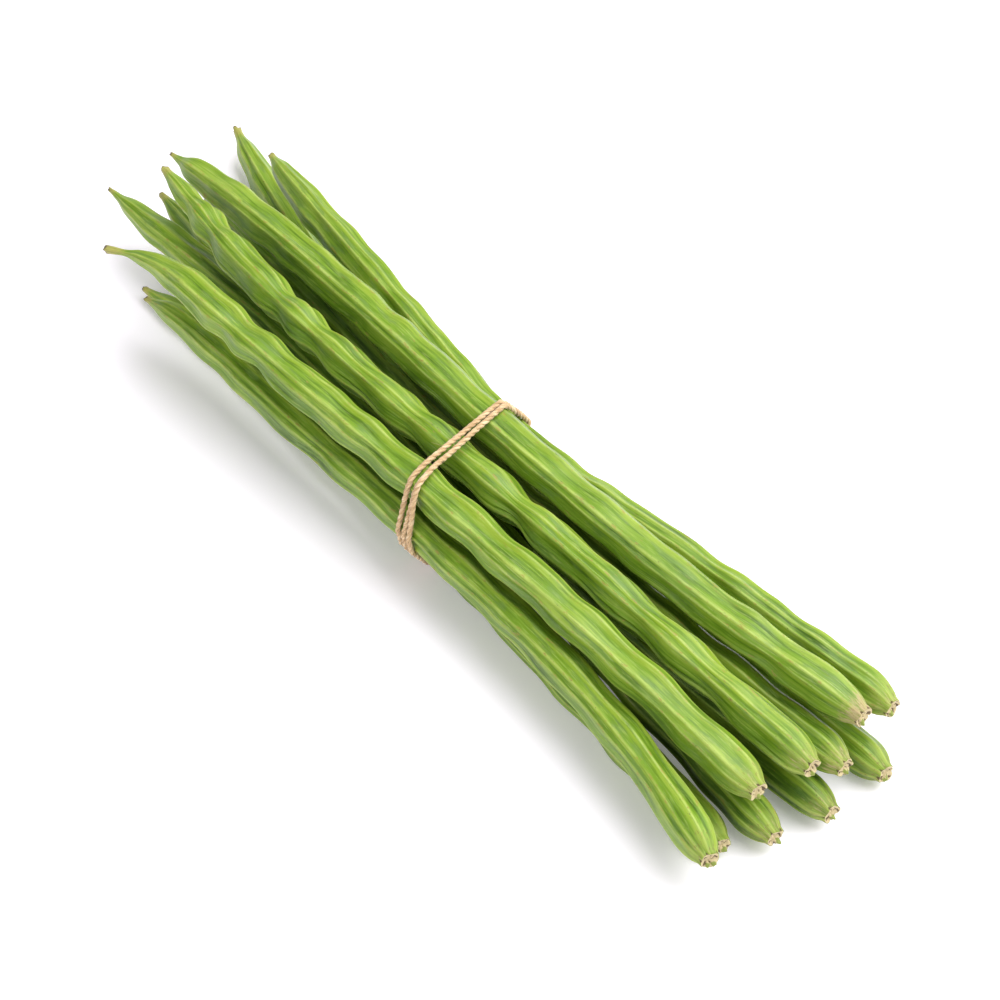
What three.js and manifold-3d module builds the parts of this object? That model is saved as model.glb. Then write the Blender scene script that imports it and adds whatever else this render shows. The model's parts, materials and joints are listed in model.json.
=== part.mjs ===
// A bunch of ten moringa pods, laid down and tied round the middle with twine.
// Millimetres. X runs along the bunch to the cut stem ends, Y across it, Z up; it rests on Z = 0.
import * as THREE from 'three';
import { mergeVertices } from 'three/addons/utils/BufferGeometryUtils.js';
import Module from 'manifold-3d';

const wasm = await Module();
wasm.setup();

// Where along X every pod is placed by hand, from the tips to the stem ends
const FAR_X = -125;
const SECOND_X = -45;
const TIE_X = 25;
const NEAR_X = 140;

// The lay of the bunch. tip and stem are [x, y, z]; the places between are [y, z].
// girth is the pod's radius over its ribs, turn the angle of its first rib in degrees,
// seeds the number of swellings, swell how far the waists between them draw in, and crowd how
// much closer they stand towards the tip. shoulder stretches the rounding of the stem end.
// beak and neck are the sideways and upward curl of the tip and of the stem end.
const PODS = [
  {
    name: 'pod_left_middle', girth: 8.8, turn: 12, seeds: 9, swell: 0.8, crowd: 0.1, shoulder: 0.95,
    beak: [-2, 1], neck: [-5, 0],
    tip: [-156, -45, 22], far: [-43.5, 27], second: [-41.5, 27],
    tie: [-38, 27], near: [-38, 26], stem: [239, -48, 22],
  },
  {
    name: 'pod_left_bottom', girth: 8.6, turn: 0, seeds: 10, swell: 0.8, crowd: 0.1, shoulder: 1,
    beak: [-1, 0], neck: [0, 0],
    tip: [-178, -34, 7], far: [-28, 7.5], second: [-27, 13],
    tie: [-27, 12], near: [-31, 8], stem: [229, -36, 8],
  },
  {
    name: 'pod_left_top', girth: 9.2, turn: 25, seeds: 10, swell: 1.3, crowd: 0.15, shoulder: 0.9,
    beak: [-17, 1], neck: [0, 0],
    tip: [-174, -37.5, 42.5], far: [-43, 50], second: [-39, 48],
    tie: [-33, 46], near: [-25, 39], stem: [230, -20, 30],
  },
  {
    name: 'pod_centre_top', girth: 9, turn: 6, seeds: 11, swell: 1.8, crowd: 0.25, shoulder: 0.9,
    beak: [-2, 3], neck: [0, 0],
    tip: [-200, -4.5, 45], far: [-15, 48], second: [-15, 46],
    tie: [-10, 44], near: [-3, 38], stem: [235, 3, 32],
  },
  {
    name: 'pod_right_top', girth: 9.1, turn: 31, seeds: 11, swell: 0.8, crowd: 0.15, shoulder: 1.15,
    beak: [-3, 2], neck: [0, 0],
    tip: [-217, 11, 36], far: [11, 44], second: [11, 47],
    tie: [11, 47], near: [19, 42], stem: [230, 33, 37],
  },
  {
    name: 'pod_right_outer', girth: 8.8, turn: 18, seeds: 10, swell: 0.8, crowd: 0.1, shoulder: 0.85,
    beak: [1, 2], neck: [0, 0],
    tip: [-194, 46, 31], far: [36.5, 35], second: [28, 34],
    tie: [22.8, 32.2], near: [37.8, 32], stem: [228, 51, 28],
  },
  {
    name: 'pod_right_bottom', girth: 8.7, turn: 0, seeds: 12, swell: 0.8, crowd: 0.1, shoulder: 0.85,
    beak: [2, 1], neck: [0, 0],
    tip: [-243, 58, 9], far: [31, 8.5], second: [17, 14],
    tie: [19, 14], near: [32, 9], stem: [240, 39, 8],
  },
  {
    name: 'pod_centre_left', girth: 8.7, turn: 9, seeds: 11, swell: 1, crowd: 0.1, shoulder: 0.85,
    beak: [0, 2], neck: [0, 0],
    tip: [-227, -20, 23], far: [-16, 28], second: [-15, 27],
    tie: [-14, 26], near: [-16, 18], stem: [239, -18, 9],
  },
  {
    name: 'pod_centre_bottom', girth: 8.7, turn: 22, seeds: 11, swell: 0.9, crowd: 0.1, shoulder: 0.85,
    beak: [0, 1], neck: [0, 0],
    tip: [-217, 1, 17], far: [-3, 13], second: [-3, 13],
    tie: [-2, 12], near: [1, 9], stem: [243, 8, 9],
  },
  {
    name: 'pod_centre_right', girth: 8.7, turn: 35, seeds: 11, swell: 1, crowd: 0.1, shoulder: 0.9,
    beak: [0, 1], neck: [0, 0],
    tip: [-205, 18, 14], far: [13, 24], second: [6, 29],
    tie: [5, 29], near: [11, 25], stem: [237, 19, 23],
  },
];

// The skin of a pod: its ribs, which fade out towards both ends, and the swellings over its seeds
const RIBS = 9;
const RIB_CREST = 0.1;
const RIB_DEPTH = 0.9;
const RIB_FADE_LENGTH = 14;
const CURL_LENGTH = 45;

// Share of the girth at a distance from the cut stem end, and from the tip.
// The seeds swell the body between BODY_START from the stem end and the tip's BODY_TIP_MARK.
const STEM_TAPER = [[0, 0.46], [2, 0.52], [5, 0.7], [9, 0.86], [14, 0.96], [22, 1]];
const TIP_TAPER = [[0, 0.09], [4, 0.19], [9, 0.31], [17, 0.48], [28, 0.69], [42, 0.86], [62, 0.97], [85, 1]];
const BODY_START = 30;
const BODY_TIP_MARK = 5;

// The cut face of the stem, dished inside its rim
const CUT_DISH_DEPTH = 1;
const CUT_DISH_SHARE = 0.28;

// The twine, whose turns lean back by the slant
const TWINE_RADIUS = 1.25;
const TWINE_SIDES = 7;
const TWINE_CLEARANCE = 0.5;
const TWINE_STEPS = 48;
const TWINE_SLANT = 0.25;

// The lanes of the twine, as [share of the way round from the knot, millimetres along the bunch].
// The way goes up the right side, over the top and down the left side. Two turns go all round,
// and a spare end is caught under the near one on top and comes down the left side between them.
const TWINE_LANES = [
  [[0, -0.6], [0.12, -1.9], [0.25, -2.2], [0.4, -3], [0.6, -4], [0.8, -3.4], [1, -1.3]],
  [[0, 0.9], [0.12, 0.8], [0.25, 0.6], [0.4, 1.2], [0.6, 3.3], [0.8, 2.6], [1, 1.3]],
  [[0.44, 1.6], [0.5, 1.4], [0.6, -0.2], [0.8, -0.4], [1, 0]],
];

// The knot sits low on the right, on the stretch of twine nearest to KNOT_SIDE [y, z]
const KNOT_SIDE = [60, -10];
const KNOT_SIZE = [5.2, 3.4, 3.8];
const TAIL_STEPS = 8;
const TAILS = [[[3, 2, -1], [8, 4, -2], [13, 4, -3]], [[-3, 3, 0], [-8, 5, -1], [-12, 6, -2]]];

// The block that the undersides are cut flat with
const TABLE = [600, 200, 20];

const GREEN = new THREE.MeshStandardMaterial({ color: 0x7ba43a, roughness: 0.45, metalness: 0 });
const TAN = new THREE.MeshStandardMaterial({ color: 0xb08d57, roughness: 0.9, metalness: 0 });

// The share at a distance in a taper, straight from mark to mark
function between(table, distance) {
  for (let i = 1; i < table.length; i++) {
    const [from, a] = table[i - 1];
    const [to, b] = table[i];
    if (distance <= to) return a + (b - a) * (distance - from) / (to - from);
  }
  return table[table.length - 1][1];
}

// A pod's centre-line runs smoothly through its six hand-set places
function centreLine(pod) {
  const xs = [pod.tip[0], FAR_X, SECOND_X, TIE_X, NEAR_X, pod.stem[0]];
  const places = [pod.tip.slice(1), pod.far, pod.second, pod.tie, pod.near, pod.stem.slice(1)];
  const last = xs.length - 1;
  const slope = (i, axis) => {
    const before = Math.max(i - 1, 0);
    const after = Math.min(i + 1, last);
    return (places[after][axis] - places[before][axis]) / (xs[after] - xs[before]);
  };
  return (x) => {
    let i = 0;
    while (i < last - 1 && x > xs[i + 1]) i++;
    const run = xs[i + 1] - xs[i];
    const t = (x - xs[i]) / run;
    const point = [0, 1].map((axis) => (
      (1 + 2 * t) * (1 - t) ** 2 * places[i][axis]
      + t * (1 - t) ** 2 * run * slope(i, axis)
      + t * t * (3 - 2 * t) * places[i + 1][axis]
      + t * t * (t - 1) * run * slope(i + 1, axis)
    ));
    const tipCurl = Math.max(0, 1 - (x - xs[0]) / CURL_LENGTH) ** 2;
    const stemCurl = Math.max(0, 1 - (xs[last] - x) / CURL_LENGTH) ** 2;
    const [y, z] = point.map((value, axis) => value + tipCurl * pod.beak[axis] + stemCurl * pod.neck[axis]);
    return new THREE.Vector3(x, y, z);
  };
}

// How many seeds lie before a share of the body, and the share that lies behind so many seeds
function seedsBefore(pod, share) {
  return pod.seeds * (share + pod.crowd * share * (share - 1));
}

function shareBehind(pod, seeds) {
  const start = 1 - pod.crowd;
  const part = seeds / pod.seeds;
  return 2 * part / (start + Math.sqrt(start * start + 4 * pod.crowd * part));
}

// Rings stand at every taper mark, and at each swelling and each waist of the body
function ringPlaces(pod, length) {
  const tipMarks = TIP_TAPER.slice(0, BODY_TIP_MARK + 1).map(([distance]) => length - distance).reverse();
  const places = STEM_TAPER.map(([distance]) => distance * pod.shoulder);
  const body = tipMarks[0] - BODY_START;
  for (let half = 0; half < pod.seeds * 2; half++) {
    places.push(BODY_START + body * shareBehind(pod, half / 2));
  }
  return places.concat(tipMarks);
}

function podGeometry(pod) {
  const line = centreLine(pod);
  const length = pod.stem[0] - pod.tip[0];
  const places = ringPlaces(pod, length);
  const bodyEnd = length - TIP_TAPER[BODY_TIP_MARK][0];
  const points = [];
  const faces = [];
  const around = RIBS * 2;

  const addRing = (distance, radius, ribs) => {
    const x = pod.stem[0] - distance;
    const centre = line(x);
    const along = line(Math.min(x + 1, pod.stem[0])).sub(line(Math.max(x - 1, pod.tip[0]))).normalize();
    const side = new THREE.Vector3().crossVectors(along, new THREE.Vector3(0, 0, 1)).normalize();
    const up = new THREE.Vector3().crossVectors(side, along);
    for (let i = 0; i < around; i++) {
      const angle = Math.PI * i / RIBS + THREE.MathUtils.degToRad(pod.turn);
      const reach = radius + RIB_CREST - (i % 2 ? ribs : 0);
      points.push(centre.clone()
        .addScaledVector(side, reach * Math.cos(angle))
        .addScaledVector(up, reach * Math.sin(angle)));
    }
  };

  addRing(CUT_DISH_DEPTH, pod.girth * CUT_DISH_SHARE, 0);
  for (const distance of places) {
    const taper = between(STEM_TAPER, distance / pod.shoulder) * between(TIP_TAPER, length - distance);
    const share = THREE.MathUtils.clamp((distance - BODY_START) / (bodyEnd - BODY_START), 0, 1);
    const waist = 0.5 - 0.5 * Math.cos(2 * Math.PI * seedsBefore(pod, share));
    const fade = THREE.MathUtils.smoothstep(Math.min(distance, length - distance), 0, RIB_FADE_LENGTH);
    addRing(distance, pod.girth * taper - pod.swell * waist, RIB_DEPTH * fade * taper);
  }

  const rings = points.length / around;
  for (let r = 0; r < rings - 1; r++) {
    for (let i = 0; i < around; i++) {
      const a = r * around + i;
      const b = r * around + (i + 1) % around;
      faces.push(a, b, a + around, b, b + around, a + around);
    }
  }
  const stemCentre = points.length;
  points.push(line(pod.stem[0] - CUT_DISH_DEPTH));
  const tipCentre = points.length;
  points.push(line(pod.tip[0]));
  const lastRing = (rings - 1) * around;
  for (let i = 0; i < around; i++) {
    const next = (i + 1) % around;
    faces.push(stemCentre, next, i);
    faces.push(tipCentre, lastRing + i, lastRing + next);
  }
  return new THREE.BufferGeometry().setFromPoints(points).setIndex(faces);
}

function toSolid(geometry) {
  geometry.deleteAttribute('normal');
  geometry.deleteAttribute('uv');
  const merged = mergeVertices(geometry, 0.0001);
  return new wasm.Manifold(new wasm.Mesh({
    numProp: 3,
    vertProperties: Float32Array.from(merged.attributes.position.array),
    triVerts: Uint32Array.from(merged.index.array),
  }));
}

function toGeometry(solid) {
  const mesh = solid.getMesh();
  const geometry = new THREE.BufferGeometry();
  geometry.setAttribute('position', new THREE.BufferAttribute(Float32Array.from(mesh.vertProperties), 3));
  geometry.setIndex(new THREE.BufferAttribute(Uint32Array.from(mesh.triVerts), 1));
  return geometry;
}

// The lowest pods are pressed to small flats where they lie on the table
function restOnTable(geometry) {
  geometry.computeBoundingBox();
  if (geometry.boundingBox.min.z >= 0) return geometry;
  const table = new THREE.BoxGeometry(...TABLE).translate(0, 0, -TABLE[2] / 2);
  return toGeometry(toSolid(geometry).subtract(toSolid(table)));
}

// Across the tie the twine follows the tight outline round all the pods
function tieOutline() {
  const marks = [];
  for (const pod of PODS) {
    const line = centreLine(pod);
    const centre = line(TIE_X - line(TIE_X).y * TWINE_SLANT);
    const reach = pod.girth + RIB_CREST + TWINE_CLEARANCE + TWINE_RADIUS;
    for (let i = 0; i < TWINE_STEPS; i++) {
      const angle = 2 * Math.PI * i / TWINE_STEPS;
      marks.push([centre.y + reach * Math.cos(angle), centre.z + reach * Math.sin(angle)]);
    }
  }
  marks.sort((a, b) => a[0] - b[0] || a[1] - b[1]);
  const turnsLeft = (o, a, b) => (a[0] - o[0]) * (b[1] - o[1]) - (a[1] - o[1]) * (b[0] - o[0]) > 0;
  const chain = (list) => {
    const kept = [];
    for (const mark of list) {
      while (kept.length > 1 && !turnsLeft(kept[kept.length - 2], kept[kept.length - 1], mark)) kept.pop();
      kept.push(mark);
    }
    kept.pop();
    return kept;
  };
  return chain(marks).concat(chain(marks.slice().reverse()));
}

// The outline as a closed run that starts and ends beside the knot
function tieRun() {
  const outline = tieOutline();
  const squared = ([y, z]) => (y - KNOT_SIDE[0]) ** 2 + (z - KNOT_SIDE[1]) ** 2;
  const nearest = outline.reduce((best, mark, i) => (squared(mark) < squared(outline[best]) ? i : best), 0);
  const ordered = outline.slice(nearest).concat(outline.slice(0, nearest + 1));
  const path = new THREE.CurvePath();
  for (let i = 1; i < ordered.length; i++) {
    const from = new THREE.Vector2(...ordered[i - 1]);
    path.add(new THREE.LineCurve(from, new THREE.Vector2(...ordered[i])));
  }
  return path.getSpacedPoints(TWINE_STEPS);
}

function cordAlong(points, steps) {
  const ring = [];
  for (let i = 0; i < TWINE_SIDES; i++) {
    const angle = 2 * Math.PI * i / TWINE_SIDES;
    ring.push(new THREE.Vector2(TWINE_RADIUS * Math.cos(angle), TWINE_RADIUS * Math.sin(angle)));
  }
  return new THREE.ExtrudeGeometry(new THREE.Shape(ring), {
    steps,
    bevelEnabled: false,
    extrudePath: new THREE.CatmullRomCurve3(points),
  });
}

function twineGeometry() {
  const run = tieRun();
  const place = (mark, lane) => new THREE.Vector3(TIE_X - mark.x * TWINE_SLANT + lane, mark.x, mark.y);

  const knotCentre = place(run[0], 0).add(new THREE.Vector3(0, KNOT_SIZE[1] - TWINE_RADIUS, 0));
  const knot = new THREE.SphereGeometry(1, 12, 8).scale(...KNOT_SIZE).translate(...knotCentre.toArray());
  let tie = toSolid(knot);
  for (const lane of TWINE_LANES) {
    const first = Math.round(lane[0][0] * TWINE_STEPS);
    const points = run.slice(first).map((mark, i) => place(mark, between(lane, (first + i) / TWINE_STEPS)));
    tie = tie.add(toSolid(cordAlong(points, points.length - 1)));
  }
  for (const tail of TAILS) {
    const points = [knotCentre, ...tail.map((step) => new THREE.Vector3(...step).add(knotCentre))];
    tie = tie.add(toSolid(cordAlong(points, TAIL_STEPS)));
  }
  return toGeometry(tie);
}

const group = new THREE.Group();
group.name = 'moringa_bunch';

function addPiece(name, geometry, material) {
  geometry.computeVertexNormals();
  const mesh = new THREE.Mesh(geometry, material);
  mesh.name = name;
  group.add(mesh);
}

for (const pod of PODS) addPiece(pod.name, restOnTable(podGeometry(pod)), GREEN);
addPiece('twine_tie', twineGeometry(), TAN);

// The origin stands under the middle of the bunch
const middle = new THREE.Box3().setFromObject(group).getCenter(new THREE.Vector3());
for (const mesh of group.children) mesh.geometry.translate(-middle.x, -middle.y, 0);

export default group;
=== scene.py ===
"""A bunch of ten moringa pods tied with twine, lying on a pale floor.

The pods and the tie take their places from the frame's solids. One straight pod is modelled and
copied, and each copy is laid along its own solid and given its ribs, swellings and ends.
"""

import json
import math

import bmesh
import bpy
import numpy as np
from bpy.props import FloatProperty, FloatVectorProperty, IntProperty, PointerProperty
from bpy.types import Operator, Panel, PropertyGroup
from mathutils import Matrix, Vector
from mathutils.geometry import convex_hull_2d

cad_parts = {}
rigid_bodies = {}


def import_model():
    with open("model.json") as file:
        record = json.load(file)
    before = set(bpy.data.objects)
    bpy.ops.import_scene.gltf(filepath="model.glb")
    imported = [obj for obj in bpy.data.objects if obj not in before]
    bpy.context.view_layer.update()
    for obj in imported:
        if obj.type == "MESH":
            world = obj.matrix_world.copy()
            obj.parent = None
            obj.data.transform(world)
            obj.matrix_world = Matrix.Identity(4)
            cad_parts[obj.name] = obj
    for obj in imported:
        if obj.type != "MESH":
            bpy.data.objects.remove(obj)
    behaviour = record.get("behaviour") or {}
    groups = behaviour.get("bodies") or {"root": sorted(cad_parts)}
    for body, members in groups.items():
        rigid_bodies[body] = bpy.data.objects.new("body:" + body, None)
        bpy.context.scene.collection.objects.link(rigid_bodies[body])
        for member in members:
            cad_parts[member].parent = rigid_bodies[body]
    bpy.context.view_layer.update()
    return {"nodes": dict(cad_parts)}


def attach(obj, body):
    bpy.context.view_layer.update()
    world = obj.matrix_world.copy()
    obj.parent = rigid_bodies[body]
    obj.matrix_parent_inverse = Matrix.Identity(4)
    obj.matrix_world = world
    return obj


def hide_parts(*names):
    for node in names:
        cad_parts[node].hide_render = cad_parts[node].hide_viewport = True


bl_info = {
    "name": "Moringa pod bunch",
    "version": (1, 0, 0),
    "blender": (4, 5, 0),
    "location": "View3D > Sidebar > Bunch",
    "description": "Grows a tied bunch of moringa pods around its solids",
    "category": "Object",
}

MM = 0.001
TURN = 2 * math.pi

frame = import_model()

# What tells one pod from the next. The first four shape it as in its solid: how many swellings, how far
# in millimetres the waists draw in, how much closer the seeds stand towards the tip, and how far the
# rounding of the stem end is stretched. plump: how full the beak is, or how thin where it is below 0;
# neck: how much it narrows; blunt: how wide it ends; dark: how deep the green is, partly the pod's own
# green and partly painted shade, most on the pods that lie low inside the bunch; blush: how pink the
# stem end is; straw: how much of the beak is dry.
TRAITS = ("seeds", "swell", "crowd", "shoulder", "plump", "neck", "blunt",
          "dark", "blush", "straw")
POD_TRAITS = {
    "pod_left_middle": (9, 0.8, 0.1, 0.95, 0.3, 0.15, 0.03, 0.4, 0.3, 0.4),
    "pod_left_bottom": (10, 0.8, 0.1, 1.0, 0.2, 0.15, 0.05, 0.6, 0.2, 0.5),
    "pod_left_top": (10, 1.3, 0.15, 0.9, -0.25, 0.3, 0.08, 0.25, 0.5, 1.0),
    "pod_centre_top": (11, 1.8, 0.25, 0.9, 0.2, 0.0, 0.1, 0.1, 0.5, 0.5),
    "pod_right_top": (11, 0.8, 0.15, 1.15, 0.5, 0.35, 0.0, 0.15, 1.0, 0.2),
    "pod_right_outer": (10, 0.8, 0.1, 0.85, 0.35, 0.0, 0.06, 0.3, 0.5, 0.2),
    "pod_right_bottom": (12, 0.8, 0.1, 0.85, 0.3, 0.2, 0.12, 0.55, 0.4, 0.8),
    "pod_centre_left": (11, 1.0, 0.1, 0.85, 0.15, 0.3, 0.0, 0.85, 0.4, 0.3),
    "pod_centre_bottom": (11, 0.9, 0.1, 0.85, 0.25, 0.1, 0.06, 0.95, 0.5, 0.5),
    "pod_centre_right": (11, 1.0, 0.1, 0.9, 0.0, 0.1, 0.05, 0.55, 0.6, 0.4),
}

# The straight pod's mesh: points round it, cuts of its length made one after the other, rings on its
# end faces, and how much closer the rings of its length stand towards its ends
POD_SIDES = 126
POD_LENGTH_CUTS = (15, 14)
STEM_CAP_RINGS = 11
TIP_CAP_RINGS = 2
END_DENSITY = 0.5

# Share of the girth at a distance in metres from the stem end, and from the tip
STEM_TAPER = ((0, 0.46), (0.001, 0.485), (0.002, 0.52), (0.005, 0.7), (0.009, 0.86), (0.014, 0.96),
              (0.022, 1))
TIP_TAPER = ((0, 0.1), (0.002, 0.14), (0.004, 0.19), (0.009, 0.31), (0.017, 0.48), (0.028, 0.69),
             (0.042, 0.86), (0.062, 0.97), (0.085, 1))

# The seeds swell the pod between these distances from its stem end and from its tip
BODY_STEM_MARK = 0.030
BODY_TIP_MARK = 0.042

# The swellings rise over the first stretch after each end. The valves' swellings are out of step by a
# share of a seed, the seeds drift by another, and some swell more than others.
SWELL_RISE_STEM = (12 * MM, 42 * MM)
SWELL_RISE_TIP = (8 * MM, 40 * MM)
VALVE_STEP = 0.2
SEED_DRIFT = 0.08
SWELL_SCATTER = 0.35

# Uneven ribs: how far one may stand out of its even place, as a share of the room between two; the
# chance in a face's depth and its limits, as shares of an even one; how round the faces' middles are;
# how far a crest is lifted and how long the waves of the depth are, in millimetres, and how high; how
# far the ribs wander round the pod; and how deep its dents are and how far they slant
RIB_SCATTER = 0.38
RIB_DEPTH_CHANCE = (0.8, 1.5)
RIB_DEPTH_LIMITS = (0.2, 2.2)
RIB_ROUNDNESS = (0.12, 0.4)
RIB_LIFTS = (-0.25, 0.15)
RIB_WAVELENGTHS = (45, 140)
RIB_WAVE = 0.3
RIB_TWIST = 0.06
DENT_DEPTH = 0.18 * MM
DENT_SLANT = 6 * MM

# The beak: where and how long its neck is, how long its blunt point, and where it starts to fill out
NECK_PLACE = 8 * MM
NECK_LENGTH = 5 * MM
BLUNT_LENGTH = 5 * MM
PLUMP_RISE = (1 * MM, 12 * MM)

# The ends: the lengths of the rim, its edge and the point; how far the rim flares, and how deep its
# lobes and notches go inwards and along; how deep the point is dished, and how far its three parts
# spread and stand apart
RIM_LENGTH = 3.5 * MM
EDGE_LENGTH = 1.2 * MM
RIM_FLARE = 0.04
RIM_LOBES = (0.05, 0.04)
NOTCH_DEPTH = 0.08
EDGE_WAVE = 0.3
EDGE_NOTCH = 0.6
POINT_LENGTH = 1.6 * MM
POINT_DISH = 0.6 * MM
POINT_SPREAD = 0.25
POINT_SPLIT = 0.5

# The cut stem: its lobes and the notches between them, how far in the hollow lies and how high a lobe
# stands in it, and the nubs at its underside (turn, share of the rim's radius, width and height)
CUT_LOBES = 5
NOTCH_SCATTER = 0.4
NOTCH_WIDTHS = (0.12, 0.22)
HOLLOW_DEPTH = 1.3
LOBE_HEIGHT = 0.7
NUBS = 2
NUB_TURNS = (-2.2, -0.9)
NUB_PLACES = (0.45, 0.7)
NUB_WIDTHS = (0.9, 1.2)
NUB_HEIGHTS = (0.9, 1.6)

# How much more alike, and how much paler, the greens of the pods are towards their tips; there the
# painted shade and the deeper green that make up each pod's darkness fade
TIP_EVENING = 0.75
TIP_PALING = 0.3

# How the solids are measured: their even ribs, the cuts across them, and the width of the smoothing
SOLID_RIBS = 9
CUT_SPACING = 4 * MM
END_SKIP = 3 * MM
SMOOTH_WIDTH = 8 * MM
GIRTH_PERCENTILE = 96
CREST_OVER_MEAN = 0.35 * MM
PHASE_SAMPLES = 90

# The mix node holds a set of sockets for each kind of value; these are the ones for colours
MIX_FACTOR, MIX_A, MIX_B, MIX_RESULT = 0, 6, 7, 2


def linear(hex_colour):
    """An sRGB hex colour as linear red, green and blue."""
    values = [int(hex_colour[i:i + 2], 16) / 255 for i in (1, 3, 5)]
    return tuple(v / 12.92 if v <= 0.04045 else ((v + 0.055) / 1.055) ** 2.4 for v in values)


def opaque(colour):
    """A linear colour with full alpha, as a colour socket wants it."""
    return (*colour[:3], 1.0)


def smoothstep(value, low, high):
    t = np.clip((value - low) / (high - low), 0, 1)
    return t * t * (3 - 2 * t)


def smooth_table(table, value):
    """A table's value at each place, on a curve that is level with the chords beside each mark."""
    marks, levels = np.array(table, float).T
    slopes = np.gradient(levels, marks)
    i = np.clip(np.searchsorted(marks, value) - 1, 0, len(marks) - 2)
    run = marks[i + 1] - marks[i]
    t = np.clip((value - marks[i]) / run, 0, 1)
    return ((1 + 2 * t) * (1 - t) ** 2 * levels[i] + t * (1 - t) ** 2 * run * slopes[i]
            + t * t * (3 - 2 * t) * levels[i + 1] + t * t * (t - 1) * run * slopes[i + 1])


def unit_vectors(vectors):
    return vectors / np.linalg.norm(vectors, axis=1)[:, None]


def arc_lengths(path):
    """How far along a path each of its points is."""
    return np.concatenate([[0], np.cumsum(np.linalg.norm(np.diff(path, axis=0), axis=1))])


def deselect_all():
    if bpy.context.object and bpy.context.object.mode != "OBJECT":
        bpy.ops.object.mode_set(mode="OBJECT")
    bpy.ops.object.select_all(action="DESELECT")


def read_points(mesh):
    points = np.empty(len(mesh.vertices) * 3)
    mesh.vertices.foreach_get("co", points)
    return points.reshape(-1, 3)


def write_points(mesh, points):
    mesh.vertices.foreach_set("co", points.ravel())
    mesh.update()


def write_vectors(mesh, name, values):
    """Keeps three numbers a point, for the materials to read by name."""
    layer = mesh.attributes.new(name, "FLOAT_VECTOR", "POINT")
    layer.data.foreach_set("vector", np.ascontiguousarray(values, float).ravel())


def read_solid(node):
    """The points and the triangles of a frame node."""
    mesh = frame["nodes"][node].data
    mesh.calc_loop_triangles()
    corners = np.empty(len(mesh.loop_triangles) * 3, int)
    mesh.loop_triangles.foreach_get("vertices", corners)
    return read_points(mesh), corners.reshape(-1, 3)


def cut_across(points, triangles, x):
    """Cuts a pod's solid at x: the centre of the cut, its mean radius, and the wave of its ribs."""
    corners = points[triangles]
    marks = []
    for a, b in ((0, 1), (1, 2), (2, 0)):
        start, end = corners[:, a], corners[:, b]
        crosses = (start[:, 0] - x) * (end[:, 0] - x) < 0
        start, end = start[crosses], end[crosses]
        share = ((x - start[:, 0]) / (end[:, 0] - start[:, 0]))[:, None]
        marks.append((start + share * (end - start))[:, 1:])
    marks = np.concatenate(marks)
    middle = marks.mean(0)
    marks = marks[np.argsort(np.arctan2(marks[:, 1] - middle[1], marks[:, 0] - middle[0]))]
    following = np.roll(marks, -1, 0)
    cross = marks[:, 0] * following[:, 1] - following[:, 0] * marks[:, 1]
    area = cross.sum() / 2
    centre = ((marks + following) * cross[:, None]).sum(0) / (6 * area)
    away = marks - centre
    angles = np.arctan2(away[:, 1], -away[:, 0])
    order = np.argsort(angles)
    even = np.linspace(-math.pi, math.pi, PHASE_SAMPLES, endpoint=False)
    reach = np.interp(even, angles[order], np.hypot(*away[order].T), period=TURN)
    return centre, math.sqrt(abs(area) / math.pi), (reach * np.exp(1j * SOLID_RIBS * even)).sum()


class Spine:
    """The line that a pod lies along, measured on its solid, with its girth and where its first rib is."""

    def __init__(self, node):
        points, triangles = read_solid(node)
        self.tip, self.stem = points[:, 0].min(), points[:, 0].max()
        self.xs = np.arange(self.tip + END_SKIP, self.stem - END_SKIP, CUT_SPACING)
        cuts = [cut_across(points, triangles, x) for x in self.xs]
        centres = np.array([centre for centre, radius, wave in cuts])
        radii = np.array([radius for centre, radius, wave in cuts])
        wave = sum(wave for centre, radius, wave in cuts)
        self.first_rib = np.angle(wave) / SOLID_RIBS
        self.girth = np.percentile(radii, GIRTH_PERCENTILE) + CREST_OVER_MEAN
        near = np.exp(-0.5 * ((self.xs[:, None] - self.xs[None, :]) / SMOOTH_WIDTH) ** 2)
        ends = np.minimum(self.xs - self.xs[0], self.xs[-1] - self.xs) < 2 * SMOOTH_WIDTH
        smooth = near @ centres / near.sum(1)[:, None]
        self.centres = np.where(ends[:, None], centres, smooth)
        self.slopes = np.gradient(self.centres, self.xs, axis=0)
        self.length = self.stem - self.tip

    def centre(self, x):
        """Points of the line; past the measured stretch it runs on straight."""
        inside = np.clip(x, self.xs[0], self.xs[-1])
        past = x - inside
        on_line = [np.interp(inside, self.xs, self.centres[:, k]) for k in (0, 1)]
        onwards = [past * np.interp(inside, self.xs, self.slopes[:, k]) for k in (0, 1)]
        return np.column_stack([x, on_line[0] + onwards[0], on_line[1] + onwards[1]])

    def axes(self, x):
        """Unit vectors at x: along the line, to its side, and up from it."""
        slopes = [np.interp(x, self.xs, self.slopes[:, k]) for k in (0, 1)]
        along = unit_vectors(np.column_stack([np.ones_like(x)] + slopes))
        side = unit_vectors(np.cross(along, (0, 0, 1)))
        return along, side, np.cross(side, along)


def add_node(tree, kind, inputs=None, stops=None, **settings):
    """Adds a node with its settings, its stops if it is a ramp, and its inputs: values or sockets."""
    node = tree.nodes.new(kind)
    for name, value in settings.items():
        setattr(node, name, value)
    for name, value in (inputs or {}).items():
        if isinstance(value, bpy.types.NodeSocket):
            tree.links.new(value, node.inputs[name])
        else:
            node.inputs[name].default_value = value
    if stops:
        elements = node.color_ramp.elements
        while len(elements) < len(stops):
            elements.new(1.0)
        for element, (place, colour) in zip(elements, stops):
            element.position = place
            element.color = opaque(colour)
    return node


def new_material(name):
    """An empty material, its node tree and its surface shader."""
    material = bpy.data.materials.new(name)
    material.use_nodes = True
    tree = material.node_tree
    return material, tree, tree.nodes["Principled BSDF"]


def colour_setting(name, description, hex_colour):
    return FloatVectorProperty(
        name=name, description=description, subtype="COLOR", default=linear(hex_colour))


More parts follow.
